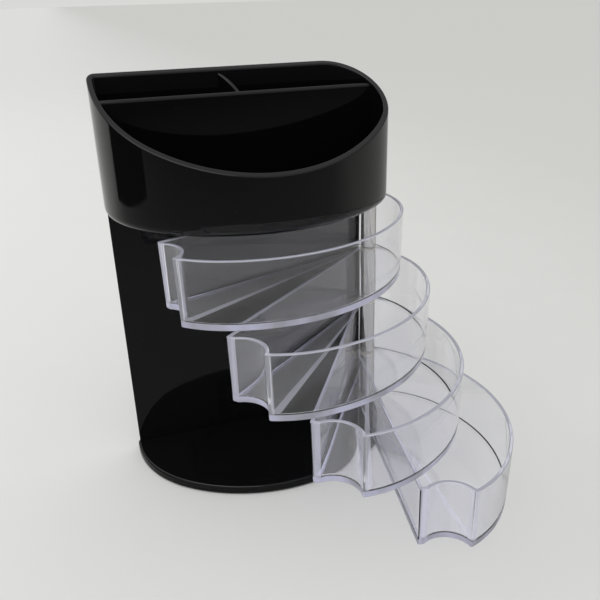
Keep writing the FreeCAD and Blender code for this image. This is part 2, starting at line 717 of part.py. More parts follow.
def drawer(level):
    """A clear drawer, modelled closed about its pivot and then swung out."""
    body = new_body(f"drawer_{level}")
    name = f"drawer_{level}"
    taper = size("drawer_taper_width")
    bevel = size("drawer_chamfer")
    foot = new_sketch(body, f"{name}_foot_outline")
    drawer_outline(foot, taper + bevel, HINGE_RADIUS - taper - bevel)
    edge = new_sketch(body, f"{name}_edge_outline", bevel)
    drawer_outline(edge, taper, HINGE_RADIUS - taper)
    rim = new_sketch(body, f"{name}_rim_outline", size("drawer_height"))
    drawer_outline(rim, NOTHING, HINGE_RADIUS)
    block = body.newObject("PartDesign::AdditiveLoft", f"{name}_block")
    block.Profile = foot
    block.Sections = [edge, rim]
    block.Ruled = True
    doc.recompute()

    inside = new_sketch(body, f"{name}_inside_outline", size("drawer_height"))
    drawer_outline(inside, size("drawer_wall"), HINGE_RADIUS - size("drawer_wall"))
    depth = size("drawer_height") - size("drawer_floor")
    pocket(body, inside, f"{name}_inside", depth)
    bore = new_sketch(body, f"{name}_bore_outline")
    disc(bore, NOTHING, NOTHING, BORE_RADIUS)
    pocket(body, bore, f"{name}_bore", size("drawer_floor"), upwards=True)

    stand_at(body, PIVOT_X, PIVOT_Y, drawer_bottom(level))
    body.setExpression("Placement.Rotation.Angle", f"Sizes.drawer_{level}_angle * 1 deg")
    body.Placement.Rotation = FreeCAD.Rotation(UP, size(f"drawer_{level}_angle").number)
    return body


def ring(label, radius, bottom, height):
    """A round ring about the rod, such as a tube or a washer."""
    body = new_body(label)
    outline = new_sketch(body, f"{label}_outline")
    disc(outline, NOTHING, NOTHING, radius)
    disc(outline, NOTHING, NOTHING, BORE_RADIUS)
    pad(body, outline, f"{label}_ring", height)
    stand_at(body, PIVOT_X, PIVOT_Y, bottom)
    return body


def pivot_rod():
    """The long rod, turned about its axis, with a flat slotted head under the base."""
    body = new_body("pivot_rod")
    head_top = BASE_BOTTOM + BASE_HOLLOW - size("head_washer_thickness")
    head_bottom = head_top - size("head_thickness")
    socket_top = TRAY_BOTTOM + TRAY_FLOOR + size("boss_height") - size("boss_cap")
    bevel = size("tip_chamfer")
    tip = socket_top - bevel
    head_radius = size("head_diameter") / TWO
    profile = new_sketch(body, "rod_profile", role="XZ_Plane")
    corners = (
        (NOTHING, head_bottom),
        (head_radius, head_bottom),
        (head_radius, head_top),
        (ROD_RADIUS, head_top),
        (ROD_RADIUS, tip - bevel),
        (ROD_RADIUS - bevel, tip),
        (NOTHING, tip),
    )
    polygon(profile, corners)
    turned = body.newObject("PartDesign::Revolution", "rod_turned")
    turned.Profile = profile
    turned.ReferenceAxis = (profile, ["V_Axis"])
    doc.recompute()
    drive = new_sketch(body, "drive_outline", head_bottom)
    half = size("drive_width") / TWO
    rectangle(drive, -head_radius - half, -half, head_radius + half, half)
    pocket(body, drive, "drive_slot", size("drive_depth"), upwards=True)
    stand_at(body, PIVOT_X, PIVOT_Y)
    return body


def rubber_foot(name, x, y):
    """A stick-on rubber foot, bevelled where it stands."""
    body = new_body(name)
    outline = new_sketch(body, f"{name}_disc_outline")
    disc(outline, NOTHING, NOTHING, size("foot_diameter") / TWO)
    block = pad(body, outline, f"{name}_disc", size("foot_show_height") + size("foot_seat_depth"))
    chamfer(body, block, f"{name}_edge", "foot_chamfer", level_with(0))
    stand_at(body, x, y)
    return body


bodies = [base_plate(), back_panel(), top_tray(), pivot_rod()]
head_landing = BASE_BOTTOM + BASE_HOLLOW - size("head_washer_thickness")
head_washer_radius = size("head_washer_diameter") / TWO
bodies.append(ring("head_washer", head_washer_radius, head_landing, size("head_washer_thickness")))
washer_radius = size("washer_diameter") / TWO
tube_height = size("drawer_height") - size("drawer_floor")
for level in range(1, DRAWERS + 1):
    bottom = drawer_bottom(level)
    tube_bottom = bottom + size("drawer_floor")
    washer_bottom = bottom - size("level_gap")
    bodies.append(drawer(level))
    bodies.append(ring(f"spacer_tube_{level}", TUBE_RADIUS, tube_bottom, tube_height))
    bodies.append(ring(f"slip_washer_{level}", washer_radius, washer_bottom, size("level_gap")))
top_washer_bottom = TRAY_BOTTOM - size("level_gap")
bodies.append(ring("slip_washer_top", washer_radius, top_washer_bottom, size("level_gap")))
for name, (x, y) in foot_places().items():
    bodies.append(rubber_foot(name, x, y))
doc.recompute()

for item in doc.Objects:
    if "Invalid" in item.State or "Error" in item.State:
        raise RuntimeError(f"{item.Name} failed: {item.State}")
for body in bodies:
    shape = body.Shape
    if shape.isNull() or not shape.isValid() or len(shape.Solids) != 1:
        raise RuntimeError(f"{body.Label} isn't one valid solid")

os.makedirs("parts", exist_ok=True)
for body in bodies:
    body.Shape.exportStep(f"parts/{body.Label}.step")
print(f"{len(bodies)} pieces written")
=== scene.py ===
import json
import math

import bpy
import numpy as np
from bpy.props import FloatProperty, FloatVectorProperty, PointerProperty
from mathutils import Matrix, Vector


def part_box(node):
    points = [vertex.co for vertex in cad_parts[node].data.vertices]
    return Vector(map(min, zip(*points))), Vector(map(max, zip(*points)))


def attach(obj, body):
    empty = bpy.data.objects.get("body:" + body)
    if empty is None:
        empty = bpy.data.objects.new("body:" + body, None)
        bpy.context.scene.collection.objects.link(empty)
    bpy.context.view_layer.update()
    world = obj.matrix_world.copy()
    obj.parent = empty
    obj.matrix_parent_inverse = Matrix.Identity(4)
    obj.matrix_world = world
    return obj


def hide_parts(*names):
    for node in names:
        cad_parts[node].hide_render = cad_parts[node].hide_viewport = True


# Rotating desk organizer with drawers
#
# Metres, +Z up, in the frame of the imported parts. The black pieces, the clear drawers and the polished
# tubes are rebuilt here as smooth surfaces with eased edges. The rod, washers and feet keep their
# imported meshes.

bl_info = {
    "name": "Rotating desk organizer",
    "version": (1, 0, 0),
    "blender": (4, 5, 0),
    "location": "3D View > Sidebar > Organizer",
    "description": "Builds a desk organizer with a pen tray on swing-out clear drawers",
    "category": "Object",
}

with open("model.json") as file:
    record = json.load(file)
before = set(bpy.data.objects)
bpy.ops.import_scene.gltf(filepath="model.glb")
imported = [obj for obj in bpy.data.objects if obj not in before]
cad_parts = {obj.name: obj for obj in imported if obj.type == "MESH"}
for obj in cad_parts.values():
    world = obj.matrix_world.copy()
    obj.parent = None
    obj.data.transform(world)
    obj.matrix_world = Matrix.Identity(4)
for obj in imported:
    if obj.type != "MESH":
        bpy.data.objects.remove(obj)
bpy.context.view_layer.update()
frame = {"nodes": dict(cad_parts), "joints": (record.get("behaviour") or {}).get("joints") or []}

JOINTS = {joint["child"]: joint for joint in frame["joints"]}
DRAWER_BODIES = ("top_drawer", "second_drawer", "third_drawer", "bottom_drawer")
FEET = ("foot_back_left", "foot_back_right", "foot_front_left", "foot_front_right")
PIVOT = np.array(JOINTS["top_drawer"]["pos_m"][:2])

MM = 0.001
QUARTER = math.pi / 2
HALF_TURN = math.pi
WHOLE_TURN = 2 * math.pi

# How finely the surfaces are drawn: points along each run and steps in each eased corner
FRONT_STEPS = 96
SIDE_STEPS = 40
CORNER_STEPS = 10
WIDE_STEPS = 64
LINE_STEPS = 8
RING_STEPS = 96
EASE_STEPS = 5
FOOT_STEPS = 12
SMOOTH_ANGLE = math.radians(28)
LEAST_RADIUS = 0.2 * MM  # a back corner keeps this much rounding however far in it is carried

# How far some points of a profile lie from an eased corner, in shares of its radius
BEYOND_SHARE = 1.5  # the point that keeps the flat beside the corner flat
SHORT_SHARE = 2  # the profile's free end
LONG_SHARE = 3  # the profile's free end where there is more room

# Where the ribs under the base stand, in shares of its width and depth
RIB_SHARES = (-0.3, 0.0, 0.24)
CROSS_RIB_SHARE = 0.46

# How much painted glow, standing in for light led through the plastic, the points of a drawer carry
# about its scoop
END_WALL_PAINTED_GLOW = 0.7
SCOOP_PAINTED_GLOW = 0.12
CORNER_PAINTED_GLOW = 0.45
CORNER_REACH = 4  # points to each side of the scoop's front corner

# Places on the stage
SHIFT = (-0.00143, 0.01687)  # the photograph's axis lies a little off its middle
CARD_ENDS = ((-0.655, -0.123), (-0.552, 0.304))
CARD_HEIGHT = 0.3
HIGH_LAMP_PLACE = (-0.4, -0.3, 1.0)
WINDOW_PLACE = (-0.7, 0.75, 1.25)
ROOM_WAY = (-0.5, -0.87, 0.0)  # to the front and the left, where the room is dark


def linear(hex_colour):
    """The linear colour of an sRGB hex value."""
    shares = np.array([int(hex_colour[place : place + 2], 16) for place in (1, 3, 5)]) / 255
    dark = shares / 12.92
    light = ((shares + 0.055) / 1.055) ** 2.4
    return tuple(np.where(shares <= 0.04045, dark, light).tolist())


# Sizes and colours that a user would change


def number(name, description, default, **kind):
    return FloatProperty(name=name, description=description, default=default, **kind)


def length(name, description, default):
    return number(name, description, default, min=0.0, unit="LENGTH", precision=5)


def angle(name, description, degrees):
    return number(name, description, math.radians(degrees), subtype="ANGLE")


def colour(name, description, hex_colour):
    kind = {"min": 0.0, "max": 1.0, "size": 3, "subtype": "COLOR"}
    return FloatVectorProperty(name=name, description=description, default=linear(hex_colour), **kind)


class OrganizerBodySizes(bpy.types.PropertyGroup):
    front_half_angle: angle("Front half angle", "Half of what the front arc spans", 40.45)
    side_run: length("Side run", "Depth of the straight sides of the D", 0.0059)
    corner_radius: length("Corner radius", "Radius of the D's back corners", 0.004)
    base_skin: length("Base skin", "Thickness of the base's top", 0.0018)
    base_skirt: length("Base skirt", "Thickness of the skirt round the base", 0.0022)
    base_edge: length("Base edge", "Rounding of the base's top edge", 0.0010)
    rib: length("Rib", "Thickness of the ribs under the base", 0.0015)
    foot_room: length("Foot room", "Radius of the recess that holds a foot", 0.00455)
    foot_wall: length("Foot wall", "Wall round a foot's recess", 0.0016)
    panel_corner: length("Panel corner", "Rounding of the panel's left back edge", 0.0027)
    edge: length("Edge", "Easing of the moulded edges", 0.0003)
    tube_bore: length("Tube bore", "Radius of the hole through the tubes", 0.00255)


class OrganizerTraySizes(bpy.types.PropertyGroup):
    wall: length("Wall", "Wall thickness of the tray", 0.0025)
    floor: length("Floor", "Floor thickness of the tray", 0.0042)
    foot_radius: length("Foot radius", "Rounding of the tray's lower edge", 0.0048)
    inner_radius: length("Inner radius", "Rounding between the walls and the floor", 0.0012)
    corner_angle: angle("Corner angle", "Where the wide corner leaves the side arc", 38.07)
    rim_angle: angle("Rim angle", "Slope of the rim, down to the front", 30.3)
    rim_edge: length("Rim edge", "Easing of the rim's edges", 0.0005)
    divider: length("Divider", "Thickness of the main divider", 0.0018)
    divider_place: length("Divider place", "From the back to the main divider's middle", 0.0156)
    divider_drop: length("Divider drop", "How far the dividers end below the rim", 0.0017)
    cross: length("Cross divider", "Thickness of the cross divider", 0.0016)
    cross_back: length("Cross back end", "How far left of the middle it meets the back", 0.0113)
    cross_front: length("Cross front end", "How far left of the middle it meets the divider", 0.0046)
    cross_bow: length("Cross bow", "How far the cross divider bows to the right", 0.0008)
    lug_radius: length("Lug radius", "Radius of the lug over the rod", 0.0074)
    boss_radius: length("Boss radius", "Radius of the boss over the rod", 0.005)
    boss_height: length("Boss height", "Height of the boss above the lug", 0.009)


class OrganizerDrawerSizes(bpy.types.PropertyGroup):
    side_gap: length("Side gap", "How far the drawers stand inside the D", 0.0012)
    hinge_radius: length("Hinge radius", "Radius of the corner round the rod", 0.0062)
    wall: length("Wall", "Wall thickness at the rim", 0.0017)
    floor: length("Floor", "Floor thickness", 0.0031)
    taper: length("Taper", "How much further in the outside stands at its foot", 0.0006)
    foot_edge: length("Foot edge", "Rounding of the lower edge", 0.0006)
    rim_edge: length("Rim edge", "Easing of the rim", 0.00035)
    inner_radius: length("Inner radius", "Rounding between the walls and the floor", 0.0007)
    upright_edge: length("Upright edge", "Easing of the upright edges", 0.0007)
    end_inset: length("End inset", "From the D's left side to the end wall", 0.0121)
    scoop_radius: length("Scoop radius", "Radius of the finger scoop", 0.012)
    scoop_inset: length("Scoop inset", "From the D's left side to the scoop's centre", 0.0029)
    scoop_back: length("Scoop back", "From the back face to the scoop's centre", 0.0164)
    bore: length("Bore", "Radius of the rod's hole in the floor", 0.00255)


class OrganizerColours(bpy.types.PropertyGroup):
    black: colour("Black plastic", "Moulded black of tray, panel and base", "#0b0b0c")
    clear: colour("Clear plastic", "What a drawer's surface lets through", "#fbfbfe")
    steel: colour("Steel", "Polished tubes and the rod", "#d2d1ce")
    nylon: colour("Nylon", "Slip washers", "#e8e5da")
    rubber: colour("Rubber", "Feet", "#1c1c1b")
    paper: colour("Paper", "The floor's seamless paper", "#e2e2e0")
    sky: colour("Sky", "The pale surround that the eye sees", "#d9d9d7")


class OrganizerStageSizes(bpy.types.PropertyGroup):
    floor_radius: length("Floor radius", "How far the paper floor reaches", 30.0)
    camera_place: FloatVectorProperty(
        name="Camera place",
        description="Where the camera stands",
        default=(-0.08405, -0.35105, 0.23563),
        subtype="TRANSLATION",
        precision=5,
    )
    camera_yaw: angle("Camera yaw", "Turn to the right of straight on", 17.71)
    camera_pitch: angle("Camera pitch", "How far the camera looks down", 24.33)
    camera_roll: angle("Camera roll", "Lean of the camera", -1.62)
    camera_lens: number("Lens", "Focal length on a 36 mm sensor", 42.005, unit="CAMERA")
    lamp_strength: number("Lamp strength", "Strength of the high lamp", 0.95)
    lamp_spread: angle("Lamp spread", "How wide the high lamp looks", 50)
    window_power: number("Window power", "Power of the window's light", 2.0, unit="POWER")
    window_width: length("Window width", "Width of the window", 1.1)
    window_height: length("Window height", "Height of the window", 0.7)


# Outlines seen from above


class Line:
    """A straight run from one place to another."""

    def __init__(self, start, end):
        self.start = np.array(start, float)
        self.end = np.array(end, float)

    def cut(self, head, tail):
        way = (self.end - self.start) / np.linalg.norm(self.end - self.start)
        return Line(self.start + way * head, self.end - way * tail)

    def at(self, shares):
        """start + (end - start) * share."""
        return self.start + (self.end - self.start) * shares[:, None]


class Arc:
    """A round run about a centre, from a heading through a turn: a hollow one turns clockwise."""

    def __init__(self, centre, radius, heading, turn):
        self.centre = np.array(centre, float)
        self.radius = radius
        self.heading = heading
        self.turn = turn

    def cut(self, head, tail):
        sign = math.copysign(1, self.turn) / self.radius
        heading = self.heading + sign * head
        return Arc(self.centre, self.radius, heading, self.turn - sign * (head + tail))

    def at(self, shares):
        """centre + radius * (cos, sin) of heading + turn * share."""
        headings = self.heading + self.turn * shares
        return self.centre + self.radius * np.stack([np.cos(headings), np.sin(headings)], axis=1)


def heading_of(way):
    return math.atan2(way[1], way[0])


def crossing(first, first_radius, second, second_radius):
    """Where two circles cross, on the left of the way from the first centre to the second."""
    step = second - first
    apart = np.linalg.norm(step)
    share = (apart**2 + first_radius**2 - second_radius**2) / (2 * apart**2)
    rise = math.sqrt(first_radius**2 - (share * apart) ** 2) / apart
    return first + step * share + np.array([-step[1], step[0]]) * rise


def eased_corner(before, corner, after, radius, steps):
    """A quarter of an ellipse that touches both sides of a corner at the radius from it.

    It is corner + radius * ((1 - sin t) towards before + (1 - cos t) towards after).
    """
    back = (before - corner) / np.linalg.norm(before - corner)
    ahead = (after - corner) / np.linalg.norm(after - corner)
    turn = np.linspace(0, QUARTER, steps + 1)[:, None]
    return corner + radius * ((1 - np.sin(turn)) * back + (1 - np.cos(turn)) * ahead)


def outline(runs, easing=0.0):
    """The points of a closed outline of runs, each with its count of points and its ending.

    A run whose ending is True ends in a corner, which is eased. The others run on smoothly.
    """
    parts = []
    for place, (run, count, cornered) in enumerate(runs):
        head = easing if runs[place - 1][2] else 0.0
        tail = easing if cornered else 0.0
        parts.append(run.cut(head, tail).at(np.arange(count) / count))
        if cornered:
            corner = run.at(np.ones(1))[0]
            before = run.cut(0, tail).at(np.ones(1))[0]
            after = runs[(place + 1) % len(runs)][0].cut(easing, 0).at(np.zeros(1))[0]
            parts.append(eased_corner(before, corner, after, easing, EASE_STEPS)[:-1])
    return np.vstack(parts)


def disc_runs(centre, radius):
    """A full circle, as a function of its inset."""
    return lambda inset: [(Arc(centre, radius - inset, 0.0, WHOLE_TURN), RING_STEPS, False)]


def box_runs(low, high):
    """A rectangle with eased corners, as a function of its inset."""

    def runs(inset):
        left, front = low[0] + inset, low[1] + inset
        right, back = high[0] - inset, high[1] - inset
        corners = ((left, front), (right, front), (right, back), (left, back))
        ends = corners[1:] + corners[:1]
        return [(Line(start, end), LINE_STEPS, True) for start, end in zip(corners, ends)]

    return runs


class BodyShape:
    """The D of the body, from the frame's width and depth and the sizes.

    The front arc and each side arc meet in one tangent, where the front arc has turned through its
    half angle. Together they reach from the middle of the front to the straight side.
    """

    def __init__(self, sizes):
        low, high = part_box("base_plate")
        self.half = high.x
        self.side_run = sizes.side_run
        self.corner = sizes.corner_radius
        self.turn = sizes.front_half_angle
        sine, cosine = math.sin(self.turn), math.cos(self.turn)
        depth = -low.y - self.side_run
        share = sine + cosine - 1
        self.front_radius = (self.half * cosine - depth * (1 - sine)) / share
        self.side_radius = (depth * sine - self.half * (1 - cosine)) / share
        self.front = np.array([0.0, self.front_radius + low.y])
        self.right = np.array([self.half - self.side_radius, -self.side_run])
        self.left = self.right * (-1, 1)

    def back_left(self, inset):
        """The back left corner and the straight left side, ending where the side arc starts."""
        reach = max(self.corner, inset + LEAST_RADIUS)
        left = inset - self.half
        return [
            (Arc((reach - self.half, -reach), reach - inset, QUARTER, QUARTER), CORNER_STEPS, False),
            (Line((left, -reach), (left, -self.side_run)), LINE_STEPS, False),
        ]

    def front_run(self, inset, left_heading, right_heading):
        """The left side arc, the front arc and the right side arc, between two headings."""
        side = self.side_radius - inset
        left_end = 3 * QUARTER - self.turn
        right_start = 3 * QUARTER + self.turn
        return [
            (Arc(self.left, side, left_heading, left_end - left_heading), SIDE_STEPS, False),
            (Arc(self.front, self.front_radius - inset, left_end, 2 * self.turn), FRONT_STEPS, False),
            (Arc(self.right, side, right_start, right_heading - right_start), SIDE_STEPS, False),
        ]

    def body_runs(self, inset):
        """The whole D, with both back corners alike."""
        reach = max(self.corner, inset + LEAST_RADIUS)
        edge = self.half - reach
        side = self.half - inset
        return [
            (Line((edge, -inset), (-edge, -inset)), FRONT_STEPS, False),
            *self.back_left(inset),
            *self.front_run(inset, HALF_TURN, WHOLE_TURN),
            (Line((side, -self.side_run), (side, -reach)), LINE_STEPS, False),
            (Arc((edge, -reach), reach - inset, 0.0, QUARTER), CORNER_STEPS, False),
        ]

    def wide_corner(self, tray):
        """The radius and centre of the tray's wide corner, which leaves the side arc in a tangent.

        The radius is (side radius * sine + side run) / (1 + sine) of its angle.
        """
        sine = math.sin(tray.corner_angle)
        radius = (self.side_radius * sine + self.side_run) / (1 + sine)
        across = (self.side_radius - radius) * math.cos(tray.corner_angle)
        return radius, np.array([self.right[0] + across, -radius])

    def tray_runs(self, tray, inset):
        """The D of the tray, whose right back corner is one wide arc."""
        wide, centre = self.wide_corner(tray)
        reach = max(self.corner, inset + LEAST_RADIUS)
        heading = WHOLE_TURN - tray.corner_angle
        turn = QUARTER + tray.corner_angle
        return [
            (Line((centre[0], -inset), (reach - self.half, -inset)), FRONT_STEPS, False),
            *self.back_left(inset),
            *self.front_run(inset, HALF_TURN, heading),
            (Arc(centre, wide - inset, heading, turn), WIDE_STEPS, False),
        ]

    def drawer_runs(self, drawer, inset):
        """A closed drawer: the D inside its gap, a round corner about the pivot, a square end and a
        finger scoop between the end wall and the left side arc."""
        hinge = drawer.hinge_radius - inset
        back = PIVOT[1] + hinge
        end = drawer.end_inset + inset - self.half
        scoop = np.array([drawer.scoop_inset - self.half, -drawer.scoop_back])
        scoop_radius = drawer.scoop_radius + inset
        side_radius = self.side_radius - drawer.side_gap - inset
        end_front = np.array([end, scoop[1] + math.sqrt(scoop_radius**2 - (end - scoop[0]) ** 2)])
        scoop_end = crossing(self.left, side_radius, scoop, scoop_radius)
        scoop_heading = heading_of(end_front - scoop)
        scoop_turn = heading_of(scoop_end - scoop) - scoop_heading
        left_heading = heading_of(scoop_end - self.left) + WHOLE_TURN
        hinge_heading = heading_of(PIVOT - self.right)
        return [
            (Line((PIVOT[0], back), (end, back)), SIDE_STEPS, True),
            (Line((end, back), end_front), LINE_STEPS, True),
            (Arc(scoop, scoop_radius, scoop_heading, scoop_turn), SIDE_STEPS, True),
            *self.front_run(drawer.side_gap + inset, left_heading, hinge_heading + WHOLE_TURN),
            (Arc(PIVOT, hinge, hinge_heading, QUARTER - hinge_heading), SIDE_STEPS, False),
        ]


# Surfaces


def eased(corners, radii, steps=EASE_STEPS):
    """A profile of (inset, height) through corners, each eased over its own radius.

    A point just beyond each eased corner keeps the flats beside it flat when they are shaded.
    """
    corners = np.array(corners, float)
    parts = [corners[:1]]
    for before, corner, after, radius in zip(corners, corners[1:], corners[2:], radii):
        curve = eased_corner(before, corner, after, radius, steps)
        parts.append(corner + (curve[:1] - corner) * BEYOND_SHARE)
        parts.append(curve)
        parts.append(corner + (curve[-1:] - corner) * BEYOND_SHARE)
    parts.append(corners[-1:])
    return np.vstack(parts)


def carried(runs_at, profile, easing=0.0):
    """Rows of points: for each (inset, height) of the profile, the outline at that inset."""
    rows = []
    for inset, height in profile:
        points = outline(runs_at(inset), easing)
        rows.append(np.column_stack([points, np.full(len(points), height)]))
    return np.array(rows)


def skin(rows, wrap=False):
    """A closed surface over rows of closed loops: its points, four-sided faces and end faces.

    Point k of each row meets point k of the next. Wrapped, the last row meets the first, and
    otherwise a flat face closes the first and the last row.
    """
    numbers = np.arange(rows.shape[0] * rows.shape[1]).reshape(rows.shape[:2])
    beside = np.roll(numbers, -1, axis=1)
    above = np.roll(numbers, -1, axis=0)
    quads = np.stack([numbers, beside, np.roll(beside, -1, axis=0), above], axis=2)
    if wrap:
        return rows.reshape(-1, 3), quads.reshape(-1, 4), []
    return rows.reshape(-1, 3), quads[:-1].reshape(-1, 4), [numbers[0, ::-1], numbers[-1]]


def post(runs_at, bottom, top, edge):
    """An upright block over an outline, with eased edges at both ends."""
    inner = SHORT_SHARE * edge
    profile = eased(((inner, bottom), (0, bottom), (0, top), (inner, top)), (edge, edge))
    return skin(carried(runs_at, profile, edge))


def ring(centre, outer, inner, bottom, top, edge):
    """An upright tube with eased ends: its profile goes up outside and down inside."""
    wall = outer - inner
    middle = (bottom + top) / 2
    corners = ((0, middle), (0, top), (wall, top), (wall, bottom), (0, bottom), (0, middle))
    profile = eased(corners, (edge,) * 4)[:-1]
    return skin(carried(disc_runs(centre, outer), profile), wrap=True)


def swung(points, turn):
    """The points turned about the pivot."""
    across = points[:, :2] - PIVOT
    cosine, sine = math.cos(turn), math.sin(turn)
    turned = across @ np.array([[cosine, sine], [-sine, cosine]])
    return np.column_stack([turned + PIVOT, points[:, 2]])


def shown(name, data):
    """An object of the scene that holds a mesh, a lamp or a camera."""
    item = bpy.data.objects.new(name, data)
    bpy.context.scene.collection.objects.link(item)
    return item


def make_piece(name, skins, body, material, node):
    """One object of several closed surfaces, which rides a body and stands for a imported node."""
    faces = []
    start = 0
    for points, quads, ends in skins:
        faces += (quads + start).tolist() + [(end + start).tolist() for end in ends]
        start += len(points)
    mesh = bpy.data.meshes.new(name)
    mesh.from_pydata(np.vstack([points for points, _, _ in skins]), [], faces)
    mesh.update()
    mesh.shade_smooth()
    mesh.set_sharp_from_angle(angle=SMOOTH_ANGLE)
    mesh.materials.append(material)
    piece = shown(name, mesh)
    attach(piece, body)
    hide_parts(node)
    return piece


# Materials


def add(tree, kind, inputs=(), **settings):
    """A shader node with its settings. Each input takes a value, or it is linked to a socket or to
    the first output of another node."""
    node = tree.nodes.new("ShaderNode" + kind)
    for name, setting in settings.items():
        setattr(node, name, setting)
    for name, source in dict(inputs).items():
        if isinstance(source, bpy.types.Node):
            source = next(socket for socket in source.outputs if socket.enabled)
        if isinstance(source, bpy.types.NodeSocket):
            tree.links.new(source, node.inputs[name])
        else:
            node.inputs[name].default_value = source
    return node


def new_material(name):
    """An empty material, its node tree and its object coordinates."""
    material = bpy.data.materials.new(name)
    material.use_nodes = True
    tree = material.node_tree
    tree.nodes.clear()
    return material, tree, add(tree, "TexCoord").outputs["Object"]


def opaque(values):
    return (*values, 1.0)


def moulding_waves(tree, places, size, detail, depth):
    """The waves that sink and flow leave on a moulding, and the normal with which they bend a
    reflection."""
    waves = add(tree, "TexNoise", {"Vector": places, "Scale": 1 / size, "Detail": detail})
    return waves, add(tree, "Bump", {"Height": waves, "Strength": 1.0, "Distance": depth})


def dust(tree, places, spacing, core, edge, strength):
    """Round grains of dust, full out to the core and gone at the edge. There is one in each cube of
    the spacing, so a surface cuts few of them."""
    grains = add(tree, "TexVoronoi", {"Vector": places, "Scale": 1 / spacing})
    ends = {"From Min": core / spacing, "From Max": edge / spacing}
    return add(tree, "MapRange", {"Value": grains, **ends, "To Min": strength, "To Max": 0.0})


def gloss_black(piece, depth):
    """High-impact polystyrene, moulded in a polished tool: black to the core, mirror gloss."""
    colours = bpy.context.scene.organizer_colours
    material, tree, places = new_material(f"polished_moulded_polystyrene_{piece}")
    _, normal = moulding_waves(tree, places, 20 * MM, 1.5, depth)
    # Handling leaves a faint haze in patches of about 6 mm
    haze = add(tree, "TexNoise", {"Vector": places, "Scale": 1 / (6 * MM), "Detail": 5.0})
    ends = {"From Min": 0.35, "From Max": 0.75, "To Min": 0.035, "To Max": 0.075}
    roughness = add(tree, "MapRange", {"Value": haze, **ends})
    # Dust of about 0.2 mm is drawn 0.4 mm wide, so that it shows
    grains = dust(tree, places, 4 * MM, 0.14 * MM, 0.22 * MM, 0.35)
    tones = {"A": opaque(colours.black), "B": opaque(linear("#4a4a48"))}
    shade = add(tree, "Mix", {"Factor": grains, **tones}, data_type="RGBA")
    look = {"IOR": 1.59, "Specular IOR Level": 0.23, "Roughness": roughness, "Normal": normal}
    shader = add(tree, "BsdfPrincipled", {"Base Color": shade, **look})
    add(tree, "OutputMaterial", {"Surface": shader})
    return material


def clear_polystyrene():
    """General-purpose polystyrene, moulded clear: glassy, with a painted lavender glow that stands in
    for light led through its length, as in the edge of the floor, the rims and the finger scoop."""
    colours = bpy.context.scene.organizer_colours
    material, tree, places = new_material("clear_moulded_polystyrene")
    waves, normal = moulding_waves(tree, places, 12 * MM, 1.0, 0.03 * MM)
    # Fine scuffs from use, in patches of about 5 mm
    scuffs = add(tree, "TexNoise", {"Vector": places, "Scale": 1 / (5 * MM), "Detail": 6.0})
    ends = {"From Min": 0.45, "From Max": 0.8, "To Min": 0.01, "To Max": 0.06}
    roughness = add(tree, "MapRange", {"Value": scuffs, **ends})
    # Painted glow: a lavender tone and less clearness where the plastic would lead light, with real dust
    # grains among it
    glow = painted_glow_and_dust(tree, places, waves)
    tones = {"A": opaque(colours.clear), "B": opaque(linear("#e0e0fb"))}
    painted_glow_tone = add(tree, "Mix", {"Factor": glow, **tones}, data_type="RGBA")
    clearness = add(tree, "MapRange", {"Value": glow, "To Min": 1.0, "To Max": 0.25})
    look = {"IOR": 1.59, "Roughness": roughness, "Transmission Weight": clearness, "Normal": normal}
    shader = add(tree, "BsdfPrincipled", {"Base Color": painted_glow_tone, **look})
    # Lamps and soft light reach what stands behind the plastic, a little dimmed
    rays = add(tree, "LightPath").outputs
    kinds = {0: rays["Is Shadow Ray"], 1: rays["Is Diffuse Ray"]}
    passing = add(tree, "Math", kinds, operation="MAXIMUM")
    window = add(tree, "BsdfTransparent", {"Color": opaque(linear("#fdfdfe"))})
    mix = add(tree, "MixShader", {0: passing, 1: shader, 2: window})
    tint = add(tree, "VolumeAbsorption", {"Color": opaque(linear("#dfd7f8")), "Density": 1.2})
    add(tree, "OutputMaterial", {"Surface": mix, "Volume": tint})
    return material


